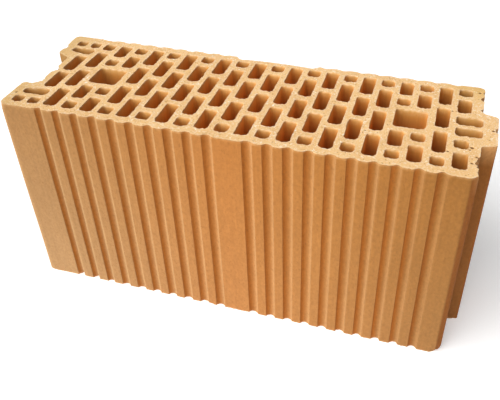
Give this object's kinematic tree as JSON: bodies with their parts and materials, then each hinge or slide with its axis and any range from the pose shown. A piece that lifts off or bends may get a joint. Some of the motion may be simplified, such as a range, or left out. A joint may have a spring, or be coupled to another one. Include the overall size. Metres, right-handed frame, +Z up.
{
  "type": "hollow clay block",
  "caption": "Tall hollow fired-clay wall block with staggered upright cells, two square grip holes, ribbed faces, and a tongue and a groove on its ends.",
  "frame": {"origin": "on the bed face, at the middle of the overall length (tongue included) and of the width", "axes": "+X along the block towards the tongue, +Y from the front face to the back face, +Z up along the cells"},
  "size_m": [0.5154, 0.17, 0.249],
  "materials": {
    "fired_clay": "matt, unglazed, extruded faces with fine drag marks and ground bed faces"
  },
  "bodies": {
    "root": {"clay_block": "fired_clay"}
  },
  "joints": []
}
